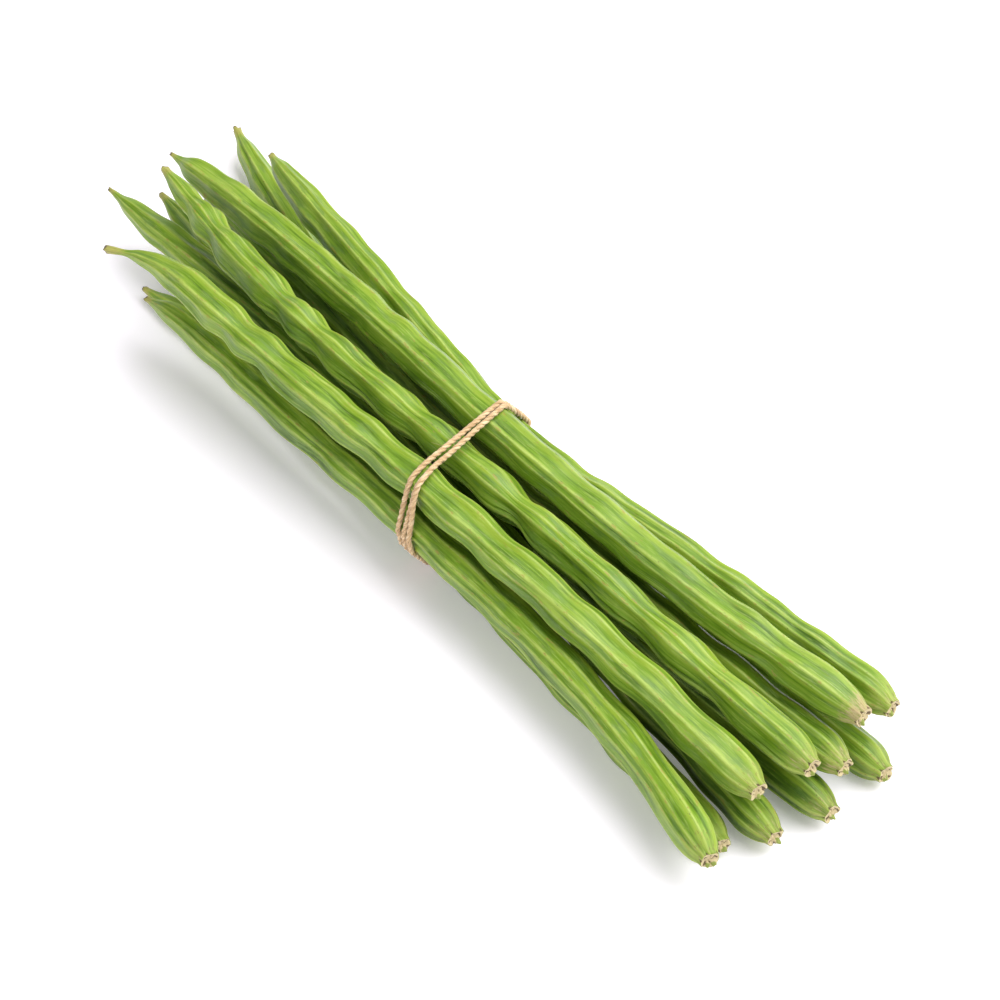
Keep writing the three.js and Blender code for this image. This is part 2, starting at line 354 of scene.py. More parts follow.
class PodSettings(PropertyGroup):
    """Sizes and colours of the pods."""

    ribs: IntProperty(name="Ribs", description="Ribs round a pod", default=9, min=3)
    rib_depth: FloatProperty(
        name="Rib depth", description="How far an even face lies below the ribs beside it",
        default=0.68 * MM, unit="LENGTH")
    rib_fade: FloatProperty(
        name="Rib fade", description="Length over which the ribs rise from an end",
        default=14 * MM, unit="LENGTH")
    green: colour_setting("Green", "Colour of the faces", "#6C8F1E")
    young: colour_setting("Young", "Lightest green of the faces", "#98AF48")
    groove: colour_setting("Groove", "Deepest green of the faces", "#3E5D0A")
    vivid: colour_setting("Vivid", "Green just under the ribs", "#8BA42E")
    # The crest colour is pale rib skin with a painted highlight on it
    crest: colour_setting("Crest", "Colour along the ribs", "#B4C468")
    wax: colour_setting("Wax", "Greyish bloom on the faces", "#66853A")
    scar: colour_setting("Scar", "Rubbed spots on the ribs", "#97803E")
    pale: colour_setting("Pale", "Paler skin near the stem end", "#98A348")
    blush: colour_setting("Blush", "Dry skin near the stem end", "#B69C7A")
    straw: colour_setting("Straw", "Dry skin of the beak", "#ACA45A")
    flesh: colour_setting("Flesh", "Colour of the cut stem end", "#CDBE92")
    bark: colour_setting("Bark", "Dried brown edges and points", "#4A3620")


class TwineSettings(PropertyGroup):
    """Sizes and colours of the twine."""

    thickness: FloatProperty(
        name="Thickness", description="Diameter of the twine", default=2.5 * MM, unit="LENGTH")
    lay: FloatProperty(
        name="Lay", description="Length in which the plies go once round", default=9.5 * MM, unit="LENGTH")
    hairs: IntProperty(name="Hairs", description="Loose fibres that stand out", default=260, min=0)
    tan: colour_setting("Tan", "Colour of the fibre", "#CBA97C")
    straw: colour_setting("Straw", "Lightest fibres", "#E8D2AC")
    shade: colour_setting("Shade", "Darkest fibres", "#A8875C")


class StageSettings(PropertyGroup):
    """The floor, the lights and the camera."""

    azimuth: FloatProperty(
        name="Azimuth", description="Turn of the view about Z", default=math.radians(52.7), subtype="ANGLE")
    elevation: FloatProperty(
        name="Elevation", description="Height of the view", default=math.radians(45), subtype="ANGLE")
    distance: FloatProperty(
        name="Distance", description="From the camera to its target", default=1.5, unit="LENGTH")
    target: FloatVectorProperty(
        name="Target", description="Point at the middle of the view", default=(0.0401, -0.0015, 0.0248),
        subtype="TRANSLATION")
    lens: FloatProperty(name="Lens", description="Focal length in millimetres", default=129.6)
    floor: colour_setting("Floor", "Colour of the floor", "#F3EFF7")
    cloud: colour_setting("Cloud", "Its paler clouds", "#F6F2F9")


def model_straight_pod():
    """One straight pod of unit length and radius along X, its stem end at +0.5, cut into fine rings."""
    deselect_all()
    bpy.ops.mesh.primitive_cylinder_add(
        vertices=POD_SIDES, radius=1, depth=1, end_fill_type="NGON", rotation=(0, math.pi / 2, 0))
    pod = bpy.context.object
    bpy.ops.object.transform_apply(location=True, rotation=True, scale=True)
    bpy.ops.object.mode_set(mode="EDIT")
    bpy.ops.mesh.select_mode(type="EDGE")
    for cuts in POD_LENGTH_CUTS:
        edit = bmesh.from_edit_mesh(pod.data)
        for edge in edit.edges:
            edge.select_set(abs(edge.verts[0].co.x - edge.verts[1].co.x) > 1e-6)
        bmesh.update_edit_mesh(pod.data)
        bpy.ops.mesh.subdivide(number_cuts=cuts)
    bpy.ops.mesh.select_mode(type="FACE")
    for end, rings in ((1, STEM_CAP_RINGS), (-1, TIP_CAP_RINGS)):
        bpy.ops.mesh.select_all(action="DESELECT")
        edit = bmesh.from_edit_mesh(pod.data)
        for face in edit.faces:
            face.select_set(len(face.verts) == POD_SIDES and face.normal.x * end > 0.5)
        bmesh.update_edit_mesh(pod.data)
        for _ in range(rings):
            bpy.ops.mesh.inset(thickness=1 / (rings + 1))
        bpy.ops.mesh.poke()
    bpy.ops.object.mode_set(mode="OBJECT")
    bpy.ops.object.shade_smooth()
    pod.name = "straight_pod"
    return pod


class RibWave:
    """The ribs round a pod, unevenly spaced, and the flat or slightly hollow faces between them."""

    def __init__(self, count, first, rng):
        self.count = count
        self.first = first
        self.places = np.arange(count) + rng.uniform(-RIB_SCATTER, RIB_SCATTER, count)
        self.gaps = np.diff(np.append(self.places, self.places[0] + count))
        self.depths = np.clip(self.gaps ** 2 * rng.uniform(*RIB_DEPTH_CHANCE, count), *RIB_DEPTH_LIMITS)
        self.roundness = rng.uniform(*RIB_ROUNDNESS, count)
        self.lifts = rng.uniform(*RIB_LIFTS, count) * MM
        self.wavelengths = rng.uniform(*RIB_WAVELENGTHS, count) * MM
        self.starts = rng.uniform(0, TURN, count)

    def at(self, angles):
        """Share of the way from rib to rib, 0 to 1, and which face that is."""
        turn = np.mod((angles - self.first) / TURN * self.count, self.count)
        turn = np.where(turn < self.places[0], turn + self.count, turn)
        face = np.clip(np.searchsorted(self.places, turn, side="right") - 1, 0, self.count - 1)
        return (turn - self.places[face]) / self.gaps[face], face

    def relief(self, share, face, distance, flat_depth):
        """How far the skin stands out at a share of the way across a face."""
        hollow = 1 - (2 * share - 1) ** 2
        soft = self.roundness[face]
        hollow = (np.sqrt(hollow ** 2 + soft ** 2) - soft) / (np.sqrt(1 + soft ** 2) - soft)
        wave = 1 + RIB_WAVE * np.sin(TURN * distance / self.wavelengths[face] + self.starts[face])
        following = self.lifts[(face + 1) % self.count]
        crests = self.lifts[face] * (1 - share) + following * share
        return crests - flat_depth * self.depths[face] * wave * hollow


def waver(rng, shortest, longest, terms=5):
    """A slow random wave: a function of the distance, about -1 to 1."""
    wavelengths = np.exp(rng.uniform(math.log(shortest), math.log(longest), terms))
    starts = rng.uniform(0, TURN, terms)
    waves = list(zip(wavelengths, starts))
    return lambda s: sum(np.sin(TURN * s / w + start) for w, start in waves) / math.sqrt(terms)


def wave_round(count, angles, rng):
    """A wave with so many crests round a pod, from a random start."""
    return np.cos(count * angles + rng.uniform(0, TURN))


class StemCut:
    """The cut face of a stem: a notched rim round a hollow with folded lobes, and nubs low on it."""

    def __init__(self, rim, rng):
        self.rim = rim
        self.notches = np.arange(CUT_LOBES) / CUT_LOBES * TURN
        self.notches += rng.uniform(-NOTCH_SCATTER, NOTCH_SCATTER, CUT_LOBES)
        self.notch_widths = rng.uniform(*NOTCH_WIDTHS, CUT_LOBES)
        self.start = rng.uniform(0, TURN)
        self.nubs = [(rng.uniform(*NUB_TURNS), rng.uniform(*NUB_PLACES) * rim,
                      rng.uniform(*NUB_WIDTHS) * MM, rng.uniform(*NUB_HEIGHTS) * MM)
                     for _ in range(NUBS)]

    def notched(self, angles):
        """0 on the rim, 1 in a notch."""
        deepest = np.zeros_like(angles)
        for place, width in zip(self.notches, self.notch_widths):
            gap = np.abs((angles - place + math.pi) % TURN - math.pi)
            deepest = np.maximum(deepest, np.exp(-(gap / width) ** 2))
        return deepest

    def face(self, rho, angles):
        """How far the face stands out of its plane, and how much of that is fold and nub, 0 to 1."""
        inner = smoothstep(1 - rho, 0.14, 0.4)
        lobe = 0.5 + 0.5 * np.cos(CUT_LOBES * angles + 2.5 * np.sin(5 * rho + self.start) + self.start)
        fold = (1 - smoothstep(lobe, 0.1, 0.5)) * smoothstep(rho, 0.1, 0.35)
        fold *= smoothstep(1 - rho, 0.06, 0.2)
        height = (-HOLLOW_DEPTH * inner + LOBE_HEIGHT * lobe * inner * smoothstep(rho, 0, 0.3)) * MM
        away, nub = rho * self.rim, np.zeros_like(rho)
        for turn, out, width, tall in self.nubs:
            gap = np.hypot(away * np.cos(angles) - out * math.cos(turn),
                           away * np.sin(angles) - out * math.sin(turn))
            bump = np.exp(-(gap / width) ** 4)
            height = height + tall * bump
            nub = np.maximum(nub, bump)
        return height, fold * (1 - nub), nub


def lay_pod(pod, node, settings, rng):
    """Lays the straight copy along its solid, with its girth, ribs, swellings and ends."""
    spine = Spine(node)
    traits = dict(zip(TRAITS, POD_TRAITS[node]))
    unit = read_points(pod.data)
    share = 0.5 - unit[:, 0]
    rho = np.minimum(np.hypot(unit[:, 1], unit[:, 2]), 1)
    angles = np.arctan2(unit[:, 2], -unit[:, 1])
    stem_face = (share < 1e-6) & (rho < 0.999)
    tip_face = (share > 1 - 1e-6) & (rho < 0.999)

    from_stem = spine.length * (share - END_DENSITY * np.sin(TURN * share) / TURN)
    from_tip = spine.length - from_stem
    taper = smooth_table(STEM_TAPER, from_stem / traits["shoulder"])
    beak = smooth_table(TIP_TAPER, from_tip)
    taper *= beak ** (1 - traits["plump"] * smoothstep(from_tip, *PLUMP_RISE))
    taper *= 1 - traits["neck"] * np.exp(-((from_tip - NECK_PLACE) / NECK_LENGTH) ** 2)
    taper += traits["blunt"] * np.exp(-(from_tip / BLUNT_LENGTH) ** 2)
    girth = spine.girth

    # The seeds swell the pod, each valve a little out of step with the others
    body = (from_stem - BODY_STEM_MARK) / (spine.length - BODY_TIP_MARK - BODY_STEM_MARK)
    before = traits["seeds"] * (body + traits["crowd"] * body * (body - 1))
    drift = waver(rng, 60 * MM, 160 * MM)(from_stem)
    swell_fade = smoothstep(from_stem, *SWELL_RISE_STEM) * smoothstep(from_tip, *SWELL_RISE_TIP)
    step = VALVE_STEP * np.sin(angles - rng.uniform(0, TURN))
    waist = 0.5 - 0.5 * np.cos(TURN * (before + step + SEED_DRIFT * drift))
    strength = 1 + SWELL_SCATTER * waver(rng, 50 * MM, 130 * MM)(from_stem)
    swelling = traits["swell"] * MM * strength * waist * swell_fade

    # Flat or hollow faces between rounded ribs
    ribs = RibWave(settings.ribs, spine.first_rib, rng)
    twist = RIB_TWIST * waver(rng, 150 * MM, 400 * MM)(from_stem)
    between, face = ribs.at(angles + twist)
    rib_fade = smoothstep(np.minimum(from_stem, 0.5 * from_tip), -3 * MM, settings.rib_fade)
    relief = ribs.relief(between, face, from_stem, settings.rib_depth)
    dent = waver(rng, 18 * MM, 60 * MM)
    dents = DENT_DEPTH * dent(from_stem + DENT_SLANT * np.cos(angles - rng.uniform(0, TURN)))
    radius = girth * taper - swelling + (relief + dents) * rib_fade * taper

    # The ends: the rim of the cut is notched, and the beak splits into three at its point
    cut = StemCut(girth * STEM_TAPER[0][1], rng)
    near_cut = 1 - smoothstep(from_stem, 0, RIM_LENGTH)
    notch = cut.notched(angles)
    lobes = RIM_LOBES[0] * wave_round(3, angles, rng) + RIM_LOBES[1] * wave_round(5, angles, rng)
    radius *= 1 + near_cut * (RIM_FLARE + lobes - NOTCH_DEPTH * notch)
    near_point = np.exp(-(from_tip / POINT_LENGTH) ** 2)
    radius *= 1 + POINT_SPREAD * near_point * wave_round(3, angles, rng)
    face_height, fold, nub = cut.face(rho, angles)
    edge = np.exp(-(from_stem / EDGE_LENGTH) ** 2) * smoothstep(rho, 0.4, 1)
    stand_out = np.where(stem_face, face_height, 0.0)
    stand_out += edge * MM * (EDGE_WAVE * wave_round(3, angles, rng) - EDGE_NOTCH * notch)
    stand_out -= np.where(tip_face, POINT_DISH * (1 - rho ** 2), 0.0)
    stand_out -= near_point * POINT_SPLIT * MM * wave_round(3, angles, rng)

    x = spine.stem - from_stem
    along, side, up = spine.axes(x)
    reach = (radius * rho)[:, None]
    places = spine.centre(x) + along * stand_out[:, None]
    places += reach * (np.cos(angles)[:, None] * side + np.sin(angles)[:, None] * up)
    places[:, 2] = np.maximum(places[:, 2], 0)
    write_points(pod.data, places)

    # Where each point is along the fibres and across its face, and what the ends do to its colour
    wide = girth * np.where(stem_face | tip_face, rho, 1)
    write_vectors(pod.data, "grain", np.column_stack([
        wide * np.cos(angles), wide * np.sin(angles), from_stem + rng.uniform(0, 10)]))
    towards_tip = 1 - smoothstep(from_tip, 20 * MM, 120 * MM)
    # Each pod's darkness: its deeper green and the painted shade of the pods low inside the bunch
    dark = traits["dark"] * (1 - TIP_EVENING * towards_tip) - TIP_PALING * towards_tip
    write_vectors(pod.data, "rib", np.column_stack([
        np.cos(TURN * between), np.sin(TURN * between), dark]))
    near_stem = 1 - smoothstep(from_stem, 1 * MM, 19 * MM)
    dry_stem = traits["blush"] * (1 - smoothstep(from_stem, 0, 14 * MM))
    dried = 1 - smoothstep(from_tip, 0, (6 + 12 * traits["straw"]) * MM)
    write_vectors(pod.data, "ends", np.column_stack([near_stem, dry_stem, dried]))
    rim = (1 - smoothstep(from_stem, 0, 2.2 * MM)) * (0.15 + 0.85 * notch) * smoothstep(rho, 0.85, 0.95)
    point = 0.8 * (1 - smoothstep(from_tip, 0, 1.5 * MM))
    inside = np.where(stem_face, smoothstep(1 - rho, 0.02, 0.12), 0.0)
    brown = np.maximum(np.maximum(rim, point), np.where(stem_face, 0.9 * fold, 0.0))
    write_vectors(pod.data, "brown", np.column_stack([brown, inside, np.where(stem_face, nub, 0.0)]))


# Masks across a face, rib to rib, as red: the rib's pale crest with its painted highlight, green: the vivid
# edge beside it, blue: thin lines. The rib is at 0.5; the middles of the faces on its two sides are at 0
# and 1.
RIB_MASKS = (
    (0.00, (0.0, 0.0, 0.0)), (0.14, (0.0, 0.1, 0.0)), (0.30, (0.0, 1.0, 0.0)), (0.38, (0.4, 0.9, 0.0)),
    (0.45, (0.8, 0.5, 0.0)), (0.50, (0.9, 0.2, 0.2)), (0.57, (0.9, 0.1, 0.0)), (0.66, (0.5, 0.1, 0.0)),
    (0.71, (0.2, 0.2, 0.0)), (0.74, (0.0, 0.1, 1.0)), (0.78, (0.0, 0.0, 0.0)), (1.00, (0.0, 0.0, 0.0)))

# The tone of the greens: its base, its patches (width, length and weight), and what dark and a crest add:
# dark is deeper green and painted shade, a crest a pale rib and a painted highlight
BASE_TONE = -0.37
TONE_PATCHES = ((5 * MM, 40 * MM, 0.9), (1.3 * MM, 45 * MM, 0.8))
# Painted shade, with a deeper green, on the darker pods
DARK_AND_SHADE_TONE = -0.28
# A painted highlight lightens the ribs, and the faces between them stay darker
CREST_AND_HIGHLIGHT_TONE = 0.26

# The shine: its patches a metre, the roughness of wax, and what the patches and dry skin add to it
SHINE_SCALE = (300, 300, 70)
WAX_ROUGHNESS = 0.27
UNEVEN_ROUGHNESS = 0.3
DRY_ROUGHNESS = 0.15


def make_pod_skin(settings):
    """Living pod skin: a waxy cuticle over long fibres, so satin, streaked along, and pale on its ribs."""
    material, tree, shader = new_material("Moringa pod skin")
    grain = add_node(tree, "ShaderNodeAttribute", attribute_name="grain").outputs["Vector"]
    parts = []
    for name in ("rib", "ends", "brown"):
        vector = add_node(tree, "ShaderNodeAttribute", attribute_name=name).outputs["Vector"]
        parts += add_node(tree, "ShaderNodeSeparateXYZ", {"Vector": vector}).outputs
    cosine, sine, dark, near_stem, blush, dried, brown, inside, nub = parts

    turn = add_node(tree, "ShaderNodeMath", {0: sine, 1: cosine}, operation="ARCTAN2").outputs[0]
    across = add_node(tree, "ShaderNodeMath", {0: turn, 1: 1 / TURN, 2: 0.5}, operation="MULTIPLY_ADD")
    masks = add_node(tree, "ShaderNodeValToRGB", {"Fac": across.outputs[0]},
                     stops=RIB_MASKS).outputs["Color"]
    crest, vivid, line = add_node(tree, "ShaderNodeSeparateColor", {"Color": masks}).outputs

    # The greens change in long soft patches and along the fibres
    tone = BASE_TONE
    for width, length, weight in TONE_PATCHES:
        place = add_node(tree, "ShaderNodeMapping", {
            "Vector": grain, "Scale": (1 / width, 1 / width, 1 / length)})
        noise = add_node(tree, "ShaderNodeTexNoise", {
            "Vector": place.outputs[0], "Scale": 1.0, "Detail": 3.0})
        tone = add_node(tree, "ShaderNodeMath", {0: noise.outputs["Fac"], 1: weight, 2: tone},
                        operation="MULTIPLY_ADD").outputs[0]
    height = tone
    # Over the patches, darkness lays painted shade on the low pods and the crests a painted highlight on
    # the ribs
    for mask, weight in ((dark, DARK_AND_SHADE_TONE), (crest, CREST_AND_HIGHLIGHT_TONE)):
        tone = add_node(tree, "ShaderNodeMath", {0: mask, 1: weight, 2: tone},
                        operation="MULTIPLY_ADD").outputs[0]
    colour = add_node(tree, "ShaderNodeValToRGB", {"Fac": tone}, stops=[
        (0.15, settings.groove), (0.45, settings.green), (0.85, settings.young)]).outputs["Color"]

    # Layers over it, each a noise pushed up by a mask and cut off softly: spot width and length,
    # detail, mask and how far it pushes, where the layer starts and is full, how much it hides,
    # its colour, and how far it stands out
    layers = (
        # Waxy grey bloom lies in soft patches on the faces
        (3.8 * MM, 15 * MM, 3, 0.0, 0.0, 0.5, 0.66, 0.75, settings.wax, 0.0),
        # Under each rib runs a vivid edge
        (5 * MM, 40 * MM, 2, vivid, 0.6, 0.6, 1.15, 0.7, settings.vivid, 0.0),
        # The ribs are pale where they catch rubbing, and a painted highlight lies along them in the same
        # pale colour
        (3 * MM, 20 * MM, 4, crest, 0.6, 0.76, 1.3, 0.65, settings.crest, 0.1),
        # Fine fibres, light and dark
        (0.7 * MM, 9 * MM, 4, 0.0, 0.0, 0.5, 0.72, 0.4, linear("#A9BB62"), 0.2),
        (0.8 * MM, 14 * MM, 4, 0.0, 0.0, 0.5, 0.72, 0.42, linear("#3B5D14"), -0.2),
        # Thin pale lines beside some ribs
        (9 * MM, 60 * MM, 1, line, 0.45, 0.95, 1.1, 0.45, linear("#C6D49C"), 0.3),
        # Rubbed ochre scars along the ribs
        (1.4 * MM, 4 * MM, 4, crest, 0.11, 0.64, 0.75, 0.6, settings.scar, -0.4),
        (0.6 * MM, 1.2 * MM, 4, crest, 0.06, 0.68, 0.75, 0.7, settings.bark, -0.4),
        # Small dull specks anywhere
        (0.7 * MM, 1.8 * MM, 4, 0.0, 0.0, 0.66, 0.74, 0.45, linear("#7C7F38"), -0.15),
        # Towards the stem end the skin pales, and dries to pinkish beige in streaks
        (3 * MM, 9 * MM, 3, near_stem, 0.5, 0.62, 1.2, 0.5, settings.pale, 0.0),
        (1.4 * MM, 5 * MM, 4, blush, 0.42, 0.66, 0.95, 0.75, settings.blush, 0.0),
        (1.0 * MM, 2.2 * MM, 4, near_stem, 0.12, 0.68, 0.76, 0.6, linear("#75592F"), -0.2),
        # The beak dries to straw
        (1.6 * MM, 5 * MM, 4, dried, 0.6, 0.65, 1.1, 0.8, settings.straw, 0.0),
        (0.9 * MM, 2.2 * MM, 4, dried, 0.14, 0.66, 0.76, 0.6, linear("#75592F"), -0.2),
        # The cut is cream flesh, brown in its folds, with green nubs
        (0.9 * MM, 2 * MM, 3, inside, 1.0, 0.8, 1.0, 1.0, settings.flesh, 0.0),
        (0.9 * MM, 2 * MM, 3, nub, 0.9, 0.8, 1.1, 0.9, linear("#7C8F33"), 0.0),
        (0.8 * MM, 1.4 * MM, 3, brown, 0.6, 0.72, 0.95, 0.9, settings.bark, 0.0),
    )
    for width, length, detail, mask, push, start, full, most, tint, stand_out in layers:
        place = add_node(tree, "ShaderNodeMapping", {
            "Vector": grain, "Scale": (1 / width, 1 / width, 1 / length)})
        noise = add_node(tree, "ShaderNodeTexNoise", {
            "Vector": place.outputs[0], "Scale": 1.0, "Detail": detail, "Roughness": 0.6})
        pushed = add_node(tree, "ShaderNodeMath", {0: mask, 1: push, 2: noise.outputs["Fac"]},
                          operation="MULTIPLY_ADD")
        cover = add_node(tree, "ShaderNodeMapRange", {
            "Value": pushed.outputs[0], "From Min": start, "From Max": full, "To Max": most},
            interpolation_type="SMOOTHSTEP").outputs[0]
        colour = add_node(tree, "ShaderNodeMix", {
            MIX_FACTOR: cover, MIX_A: colour, MIX_B: opaque(tint)}, data_type="RGBA").outputs[MIX_RESULT]
        if stand_out:
            height = add_node(tree, "ShaderNodeMath", {0: cover, 1: stand_out, 2: height},
                              operation="MULTIPLY_ADD").outputs[0]

    # The wax shines unevenly, and less near the stem end, where the skin is dry
    place = add_node(tree, "ShaderNodeMapping", {"Vector": grain, "Scale": SHINE_SCALE})
    noise = add_node(tree, "ShaderNodeTexNoise", {
        "Vector": place.outputs[0], "Scale": 1.0, "Detail": 3.0})
    roughness = WAX_ROUGHNESS
    for mask, weight in ((noise.outputs["Fac"], UNEVEN_ROUGHNESS), (near_stem, DRY_ROUGHNESS)):
        roughness = add_node(tree, "ShaderNodeMath", {0: mask, 1: weight, 2: roughness},
                             operation="MULTIPLY_ADD").outputs[0]
    bump = add_node(tree, "ShaderNodeBump", {"Height": height, "Strength": 0.5, "Distance": 0.3 * MM})
    tree.links.new(colour, shader.inputs["Base Color"])
    tree.links.new(roughness, shader.inputs["Roughness"])
    tree.links.new(bump.outputs[0], shader.inputs["Normal"])
    shader.inputs["IOR"].default_value = 1.45
    shader.inputs["Specular IOR Level"].default_value = 0.4
    return material


class BUNCH_OT_grow_pods(Operator):
    """Models one straight pod and lays a copy of it along each pod's solid"""

    bl_idname = "bunch.grow_pods"
    bl_label = "Grow pods"

    def execute(self, context):
        settings = context.scene.bunch_pods
        straight = model_straight_pod()
        skin = make_pod_skin(settings)
        for number, node in enumerate(POD_TRAITS):
            pod = straight.copy()
            pod.data = straight.data.copy()
            pod.name = pod.data.name = node.replace("pod_", "pod_skin_")
            context.collection.objects.link(pod)
            lay_pod(pod, node, settings, np.random.default_rng(100 + number))
            pod.data.materials.append(skin)
            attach(pod, "root")
            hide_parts(node)
        bpy.data.objects.remove(straight)
        return {"FINISHED"}


# The turns of the twine, as [share of the way round from the knot, millimetres along the bunch].
# The way round goes up the right side, over the top and down the left side.
FAR_LANE = ((0, -0.6), (0.12, -1.9), (0.25, -2.2), (0.4, -3.0), (0.6, -4.0), (0.8, -3.4), (1, -1.3))
NEAR_LANE = ((0, 0.9), (0.12, 0.8), (0.25, 0.6), (0.4, 1.2), (0.6, 3.3), (0.8, 2.6), (1, 1.3))
SPARE_LANE = ((0.44, 1.2), (0.5, 1.0), (0.6, -0.2), (0.8, -0.4), (1, 0))

# The turns touch what skin lies this near their plane; they have so many steps all round
TIE_REACH = 3 * MM
ROUND_STEPS = 460

# The knot lies at the point of the turns nearest to KNOT_SIDE, and its tails run from its middle
# through these points in millimetres. The directions are those that a tail and its hairs face.
KNOT_SIDE = (60 * MM, -10 * MM)
KNOT_SCALE = (1.25 * MM, 0.85 * MM, 1.1 * MM)
KNOT_STEPS = 150
TAILS = (((3, 2, -1), (8, 4, -2), (13, 4, -3)), ((-3, 3, 0), (-8, 5, -1), (-12, 6, -2)))
TAIL_STEPS = 46
TAIL_OUT = (0.2, 0.3, 1.0)
TAIL_HAIRS_OUT = (0.0, 0.3, 1.0)

# The plies: how far they stand from the cord's middle, and how thick they are and unevenly so, as
# shares of its radius; the length of that wave; and the length in which their fibres go once round
PLIES = 3
PLY_SIDES = 9
PLY_OFFSET = 0.42
PLY_RADIUS = 0.55
PLY_WAVE = 0.03
PLY_WAVELENGTH = 7 * MM
FIBRE_LAY = 5 * MM

# Where the near turn passes over the spare end: how high, and how it rises and comes down again
NEAR_LIFT = 1.1 * MM
NEAR_RISE = (0.38, 0.44)
NEAR_FALL = (0.5, 0.58)

# The loose fibres: points along each and round it, how long they are in millimetres, how thick, how
# far they lean along the twine, and how much they curl
HAIR_STEPS = 5
HAIR_SIDES = 3
HAIR_LENGTHS = (0.8, 2.6)
HAIR_RADIUS = 0.07 * MM
HAIR_LEAN = 1.2
HAIR_CURL = 0.5

# Added to an outward direction, so that it never lies along the path
ASKEW = (0.01, 0.02, 0.03)


def cord_axes(path, out):
    """Unit vectors square to a path: as nearly outwards as they can be, and across."""
    along = unit_vectors(np.gradient(path, axis=0))
    out = unit_vectors(out - (out * along).sum(1)[:, None] * along)
    return out, np.cross(along, out)


class Tubes:
    """Gathers closed tubes into one mesh, with where each point is in its fibre."""

    def __init__(self):
        self.points, self.faces, self.fibre, self.count = [], [], [], 0

    def add(self, path, normals, radii, sides, start=0.0, twist=0.0):
        steps = len(path)
        normals, across = cord_axes(path, normals)
        arc = arc_lengths(path) + start
        angles = np.arange(sides) / sides * TURN
        ring = np.cos(angles)[None, :, None] * normals[:, None]
        ring = ring + np.sin(angles)[None, :, None] * across[:, None]
        points = path[:, None] + ring * radii[:, None, None]
        turned = angles[None, :] + twist * arc[:, None]
        fibre = np.stack([radii[:, None] * np.cos(turned), radii[:, None] * np.sin(turned),
                          np.broadcast_to(arc[:, None], turned.shape)], axis=2)
        first = self.count
        for i in range(steps - 1):
            for k in range(sides):
                a, b = first + i * sides + k, first + i * sides + (k + 1) % sides
                self.faces.append((a, b, b + sides, a + sides))
        self.faces.append(tuple(first + k for k in reversed(range(sides))))
        self.faces.append(tuple(first + (steps - 1) * sides + k for k in range(sides)))
        self.points.append(points.reshape(-1, 3))
        self.fibre.append(fibre.reshape(-1, 3))
        self.count += steps * sides

    def build(self, name):
        mesh = bpy.data.meshes.new(name)
        mesh.from_pydata(np.concatenate(self.points).tolist(), [], self.faces)
        write_vectors(mesh, "fibre", np.concatenate(self.fibre))
        mesh.shade_smooth()
        made = bpy.data.objects.new(name, mesh)
        bpy.context.collection.objects.link(made)
        return made


def tie_plane():
    """The plane that the turns lie in, fitted to the twine's solid: x = start - slant * y."""
    points, _ = read_solid("twine_tie")
    slant, start = np.polyfit(points[:, 1], points[:, 0], 1)
    return start, -slant


def tie_run(start, slant, thickness):
    """The tight way round all the pods in that plane, as evenly spaced [y, z] from beside the knot."""
    marks = []
    for node in POD_TRAITS:
        skin = read_points(bpy.data.objects[node.replace("pod_", "pod_skin_")].data)
        beside = np.abs(skin[:, 0] - start + slant * skin[:, 1]) < TIE_REACH
        marks.append(skin[beside, 1:])
    marks = np.concatenate(marks)
    hull = marks[convex_hull_2d([Vector(mark) for mark in marks])]
    spokes = np.linspace(0, TURN, 32, endpoint=False)
    circle = np.column_stack([np.cos(spokes), np.sin(spokes)]) * thickness / 2
    marks = (hull[:, None] + circle).reshape(-1, 2)
    marks[:, 1] = np.maximum(marks[:, 1], thickness / 2)
    hull = marks[convex_hull_2d([Vector(mark) for mark in marks])]
    following = np.roll(hull, -1, 0)
    if (hull[:, 0] * following[:, 1] - following[:, 0] * hull[:, 1]).sum() < 0:
        hull = hull[::-1]
    nearest = np.argmin(np.linalg.norm(hull - KNOT_SIDE, axis=1))
    hull = np.roll(hull, -nearest, 0)
    hull = np.vstack([hull, hull[:1]])
    arc = arc_lengths(hull)
    even = np.linspace(0, arc[-1], ROUND_STEPS)
    return np.column_stack([np.interp(even, arc, hull[:, k]) for k in (0, 1)])


def add_cord(tubes, path, out, settings, start=0.0):
    """One length of twine: its plies wound round each other along a path."""
    radius = settings.thickness / 2
    arc = arc_lengths(path)
    out, across = cord_axes(path, out)
    for ply in range(PLIES):
        turn = TURN * (arc / settings.lay + ply / PLIES) + start
        offset = PLY_OFFSET * radius * (np.cos(turn)[:, None] * out + np.sin(turn)[:, None] * across)
        thick = radius * (PLY_RADIUS + PLY_WAVE * np.sin(arc / PLY_WAVELENGTH + 2.1 * ply + start))
        tubes.add(path + offset, out, thick, PLY_SIDES, start=0.3 * ply + start, twist=-TURN / FIBRE_LAY)


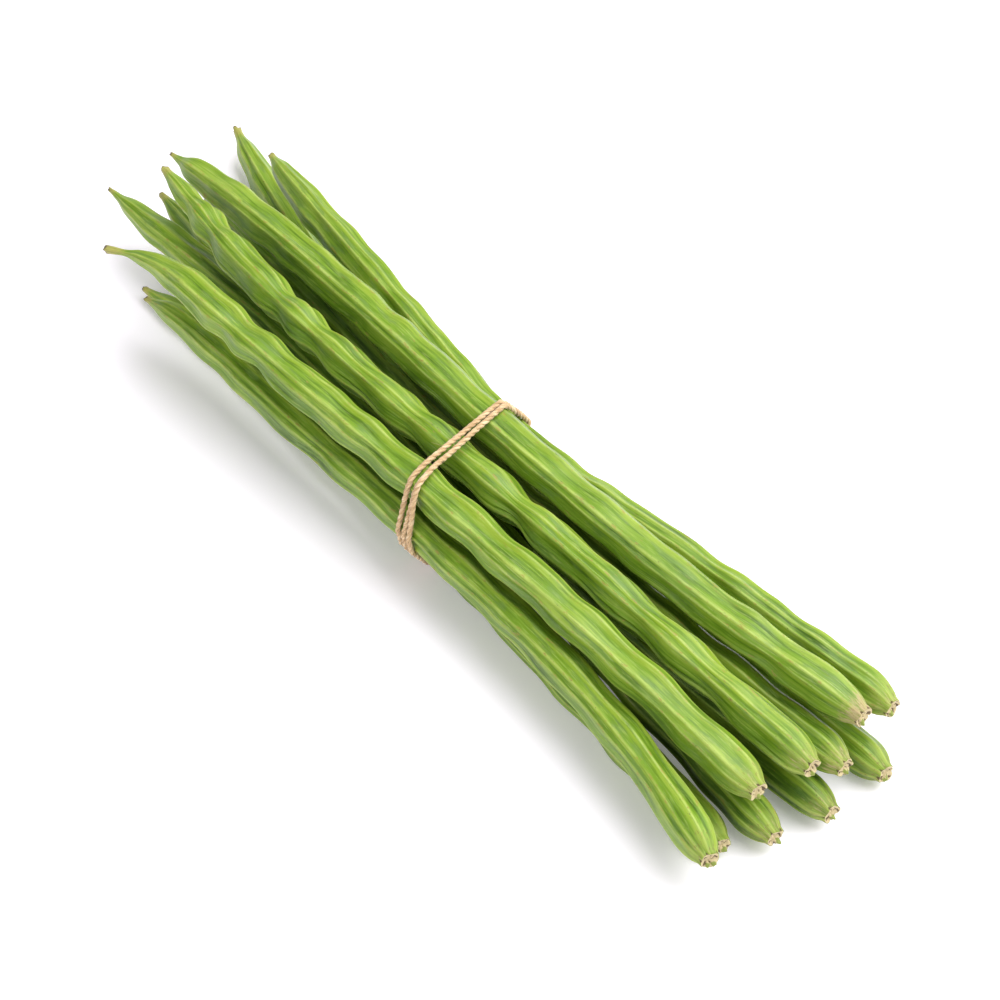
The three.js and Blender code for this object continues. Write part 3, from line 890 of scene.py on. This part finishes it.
def wind_twine(settings):
    """The whole twine: its turns, the spare end, the knot, the tails and the loose fibres."""
    rng = np.random.default_rng(7)
    tubes = Tubes()
    start, slant = tie_plane()
    run = tie_run(start, slant, settings.thickness)
    way = np.linspace(0, 1, ROUND_STEPS)
    middle = run.mean(0)
    paths = []
    for lane in (FAR_LANE, NEAR_LANE, SPARE_LANE):
        inside = (way >= lane[0][0]) & (way <= lane[-1][0])
        marks, way_in = run[inside], way[inside]
        shift = smooth_table(lane, way_in) * MM
        out = unit_vectors(marks - middle)
        if lane is NEAR_LANE:
            lift = NEAR_LIFT * smoothstep(way_in, *NEAR_RISE) * (1 - smoothstep(way_in, *NEAR_FALL))
            marks = marks + out * lift[:, None]
        path = np.column_stack([start - slant * marks[:, 0] + shift, marks])
        out = np.column_stack([np.zeros(len(marks)), out])
        paths.append((path, out))
        add_cord(tubes, path, out, settings, start=rng.uniform(0, TURN))

    knot = np.array([start - slant * run[0, 0], run[0, 0] + 2 * MM, max(run[0, 1], 5 * MM)])
    t = np.linspace(0, TURN, KNOT_STEPS)
    loops = np.column_stack([
        np.sin(t) + 2 * np.sin(2 * t), -np.sin(3 * t), np.cos(t) - 2 * np.cos(2 * t)])
    add_cord(tubes, knot + loops * KNOT_SCALE, loops + ASKEW, settings)
    for tail in TAILS:
        marks = np.vstack([[0, 0, 0], tail]) * MM + knot
        places = np.linspace(0, len(marks) - 1, TAIL_STEPS)
        path = np.column_stack([
            smooth_table(np.column_stack([np.arange(len(marks)), marks[:, k]]), places)
            for k in range(3)])
        add_cord(tubes, path, np.tile(TAIL_OUT, (TAIL_STEPS, 1)), settings)
        paths.append((path, np.tile(TAIL_HAIRS_OUT, (TAIL_STEPS, 1))))

    for _ in range(settings.hairs):
        path, out = paths[rng.integers(len(paths))]
        i = rng.integers(2, len(path) - 2)
        forward = path[i + 1] - path[i]
        forward /= np.linalg.norm(forward)
        sideways = np.cross(forward, out[i])
        spin = rng.uniform(0, TURN)
        away = math.cos(spin) * out[i] + math.sin(spin) * sideways
        root = path[i] + away * settings.thickness * 0.4
        reach = rng.uniform(*HAIR_LENGTHS) * MM
        lean = forward * rng.uniform(-HAIR_LEAN, HAIR_LEAN) + away + rng.normal(0, 0.25, 3)
        t = np.linspace(0, 1, HAIR_STEPS)[:, None]
        hair = root + lean * t * reach + rng.normal(0, HAIR_CURL, 3) * (t ** 2) * reach
        hair[:, 2] = np.maximum(hair[:, 2], 0.1 * MM)
        thick = HAIR_RADIUS * (1.15 - t[:, 0])
        normals = np.tile(sideways + ASKEW, (HAIR_STEPS, 1))
        tubes.add(hair, normals, thick, HAIR_SIDES, start=rng.uniform(0, 1))
    return tubes.build("twine")


# How many strands, and how many lighter and darker patches, there are a metre across and along a ply
STRAND_SCALE = (1 / (0.22 * MM), 1 / (0.22 * MM), 1 / (6 * MM))
TAN_PATCH_SCALE = (300, 300, 90)


def make_twine_fibre(settings):
    """Spun jute: dull, coarse bast fibres, light and dark side by side, lying along each ply."""
    material, tree, shader = new_material("Spun jute twine")
    fibre = add_node(tree, "ShaderNodeAttribute", attribute_name="fibre").outputs["Vector"]
    noises = []
    for scale, detail in ((STRAND_SCALE, 3.0), (TAN_PATCH_SCALE, 2.0)):
        place = add_node(tree, "ShaderNodeMapping", {"Vector": fibre, "Scale": scale})
        noises.append(add_node(tree, "ShaderNodeTexNoise", {
            "Vector": place.outputs[0], "Scale": 1.0, "Detail": detail}).outputs["Fac"])
    streaks, patches = noises
    both = add_node(tree, "ShaderNodeMath", {0: streaks, 1: patches}, operation="ADD").outputs[0]
    tone = add_node(tree, "ShaderNodeMath", {0: both, 1: 1.3, 2: -0.8}, operation="MULTIPLY_ADD")
    ramp = add_node(tree, "ShaderNodeValToRGB", {"Fac": tone.outputs[0]}, stops=[
        (0.15, settings.shade), (0.5, settings.tan), (0.85, settings.straw)])
    bump = add_node(tree, "ShaderNodeBump", {"Height": streaks, "Strength": 0.8, "Distance": 0.2 * MM})
    tree.links.new(ramp.outputs["Color"], shader.inputs["Base Color"])
    tree.links.new(bump.outputs[0], shader.inputs["Normal"])
    shader.inputs["Roughness"].default_value = 0.85
    shader.inputs["Sheen Weight"].default_value = 0.25
    return material


class BUNCH_OT_wind_twine(Operator):
    """Winds the twisted twine round the pods, with its knot, tails and loose fibres"""

    bl_idname = "bunch.wind_twine"
    bl_label = "Wind twine"

    def execute(self, context):
        settings = context.scene.bunch_twine
        twine = wind_twine(settings)
        twine.data.materials.append(make_twine_fibre(settings))
        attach(twine, "root")
        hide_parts("twine_tie")
        return {"FINISHED"}


# The soft lights round the bunch: azimuth and elevation in degrees, distance, size and power. The wide
# one from above shows the ribs; the low ones lift the cut ends and the shaded side.
LIGHTS = {
    "key_light": (158, 56, 1.7, 2.2, 64),
    "end_light": (90, 35, 2.0, 1.2, 6),
    "fill_light": (12, 24, 1.8, 1.6, 16),
}

# The floor glows a little and the sky is pale, so that shadows are soft and never black
FLOOR_SIZE = 8
FLOOR_GLOW = 0.16
SKY = (1, 0.95, 1, 1)
SKY_STRENGTH = 0.25
SENSOR_WIDTH = 36


def facing(azimuth, elevation, distance, target=(0, 0, 0)):
    """Where a light or a camera goes to face a target from a side, and how it is turned."""
    back = Vector((math.sin(azimuth) * math.cos(elevation), -math.cos(azimuth) * math.cos(elevation),
                   math.sin(elevation)))
    return dict(location=Vector(target) + back * distance, rotation=(math.pi / 2 - elevation, 0, azimuth))


def make_floor_board(settings):
    """Painted board: matt, so it takes soft shadows and mirrors nothing, with a faint cloudiness."""
    material, tree, shader = new_material("Matt pale board")
    place = add_node(tree, "ShaderNodeTexCoord").outputs["Object"]
    cloud = add_node(tree, "ShaderNodeTexNoise", {"Vector": place, "Scale": 3.0})
    tone = add_node(tree, "ShaderNodeMix", {
        MIX_FACTOR: cloud.outputs["Fac"], MIX_A: opaque(settings.floor), MIX_B: opaque(settings.cloud)},
        data_type="RGBA")
    tree.links.new(tone.outputs[MIX_RESULT], shader.inputs["Base Color"])
    shader.inputs["Roughness"].default_value = 0.9
    shader.inputs["Specular IOR Level"].default_value = 0.2
    shader.inputs["Emission Color"].default_value = (1, 1, 1, 1)
    shader.inputs["Emission Strength"].default_value = FLOOR_GLOW
    return material


class BUNCH_OT_set_stage(Operator):
    """Adds the floor, the soft lights and the camera"""

    bl_idname = "bunch.set_stage"
    bl_label = "Set stage"

    def execute(self, context):
        settings = context.scene.bunch_stage
        deselect_all()
        bpy.ops.mesh.primitive_plane_add(size=FLOOR_SIZE)
        floor = context.object
        floor.name = "floor"
        floor.data.materials.append(make_floor_board(settings))

        for name, (azimuth, elevation, distance, size, power) in LIGHTS.items():
            bpy.ops.object.light_add(
                type="AREA", **facing(math.radians(azimuth), math.radians(elevation), distance))
            light = context.object
            light.name = name
            light.data.size = size
            light.data.energy = power

        world = bpy.data.worlds.new("pale studio")
        world.use_nodes = True
        sky = world.node_tree.nodes["Background"]
        sky.inputs["Color"].default_value = SKY
        sky.inputs["Strength"].default_value = SKY_STRENGTH
        context.scene.world = world
        context.scene.view_settings.view_transform = "Standard"

        bpy.ops.object.camera_add(
            **facing(settings.azimuth, settings.elevation, settings.distance, settings.target))
        camera = context.object
        camera.name = "camera"
        camera.data.sensor_width = SENSOR_WIDTH
        camera.data.lens = settings.lens
        context.scene.camera = camera
        return {"FINISHED"}


class BUNCH_PT_panel(Panel):
    """Lists the steps that make the bunch"""

    bl_label = "Moringa bunch"
    bl_space_type = "VIEW_3D"
    bl_region_type = "UI"
    bl_category = "Bunch"

    def draw(self, context):
        layout = self.layout
        scene = context.scene
        for settings, operator in (
                (scene.bunch_stage, BUNCH_OT_set_stage), (scene.bunch_pods, BUNCH_OT_grow_pods),
                (scene.bunch_twine, BUNCH_OT_wind_twine)):
            box = layout.box()
            for name in settings.__annotations__:
                box.prop(settings, name)
            box.operator(operator.bl_idname)


CLASSES = (PodSettings, TwineSettings, StageSettings, BUNCH_OT_grow_pods, BUNCH_OT_wind_twine,
           BUNCH_OT_set_stage, BUNCH_PT_panel)


def register():
    for cls in CLASSES:
        bpy.utils.register_class(cls)
    bpy.types.Scene.bunch_pods = PointerProperty(type=PodSettings)
    bpy.types.Scene.bunch_twine = PointerProperty(type=TwineSettings)
    bpy.types.Scene.bunch_stage = PointerProperty(type=StageSettings)


def unregister():
    del bpy.types.Scene.bunch_stage
    del bpy.types.Scene.bunch_twine
    del bpy.types.Scene.bunch_pods
    for cls in reversed(CLASSES):
        bpy.utils.unregister_class(cls)


def main():
    register()
    bpy.ops.bunch.set_stage()
    bpy.ops.bunch.grow_pods()
    bpy.ops.bunch.wind_twine()


if __name__ == "__main__":
    main()
